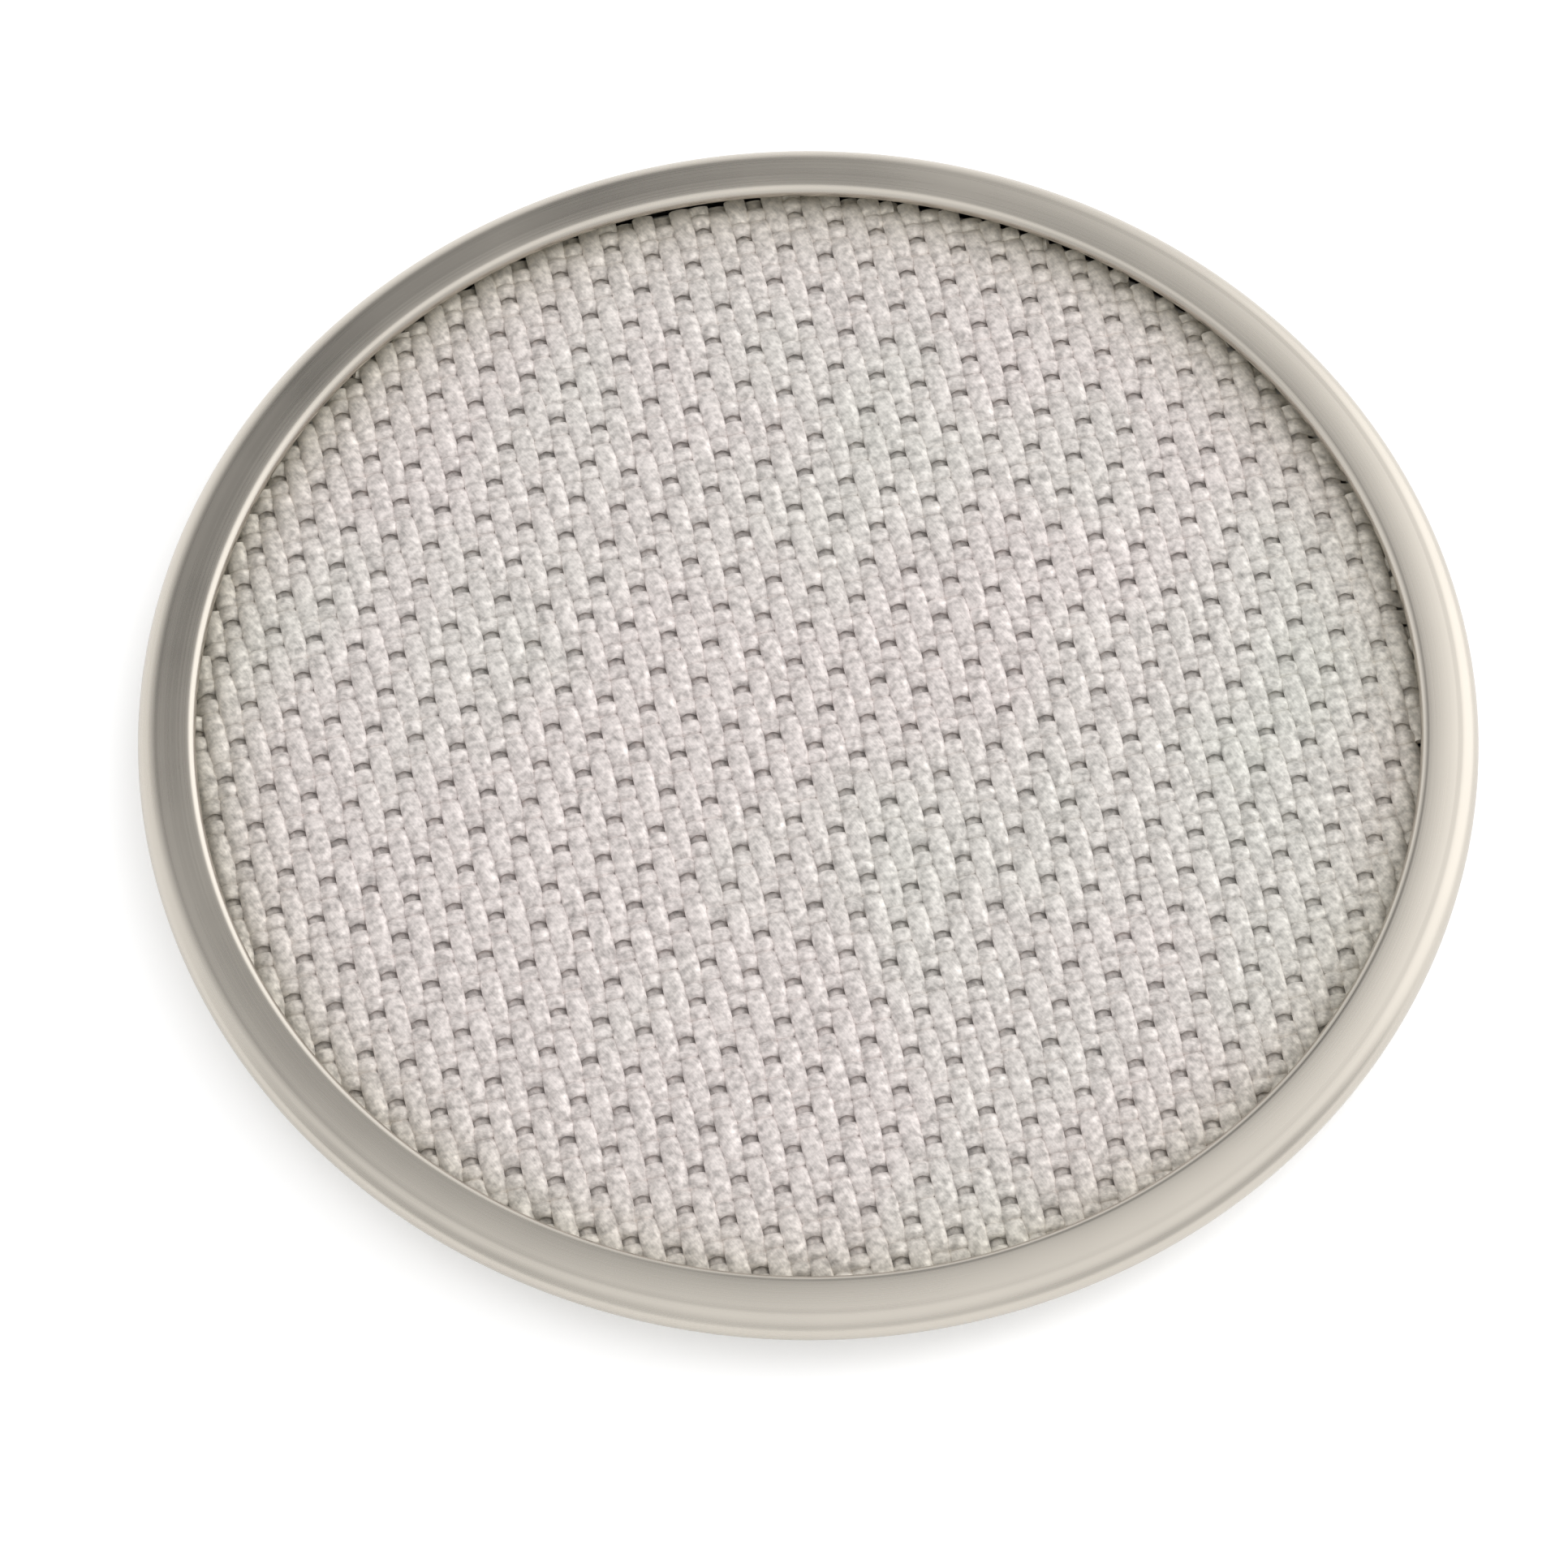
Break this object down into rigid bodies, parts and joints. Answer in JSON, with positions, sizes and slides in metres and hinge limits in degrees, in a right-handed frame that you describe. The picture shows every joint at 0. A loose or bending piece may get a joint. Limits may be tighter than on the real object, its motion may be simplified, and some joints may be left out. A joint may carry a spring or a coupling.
{
  "type": "round gas burner head",
  "caption": "Flat round premix gas burner head: a crowned deck woven from metal fibre yarns in a rolled stainless rim, over a perforated distributor plate and a shallow rear pan.",
  "frame": {"origin": "centre of the rear face, which is the plane that the head rests on", "axes": "+Z along the axis of the disc, from the rear pan to the woven deck, the way the flame goes. The warp yarns run along Y and the weft yarns along X"},
  "size_m": [0.16, 0.16, 0.0095],
  "materials": {
    "rim_steel": "satin stainless steel",
    "deck_fibre": "matt heat-resistant metal fibre",
    "ring_steel": "stainless strip",
    "plate_steel": "punched stainless sheet",
    "pan_steel": "pressed stainless sheet",
    "seal_fibre": "white ceramic fibre"
  },
  "bodies": {
    "root": {"outer_rim": "rim_steel", "deck_warp_yarns": "deck_fibre", "deck_weft_yarns": "deck_fibre", "deck_seat_ring": "ring_steel", "plate_spacer_ring": "ring_steel", "distributor_plate": "plate_steel", "rear_pan": "pan_steel", "edge_seal": "seal_fibre"}
  },
  "joints": []
}
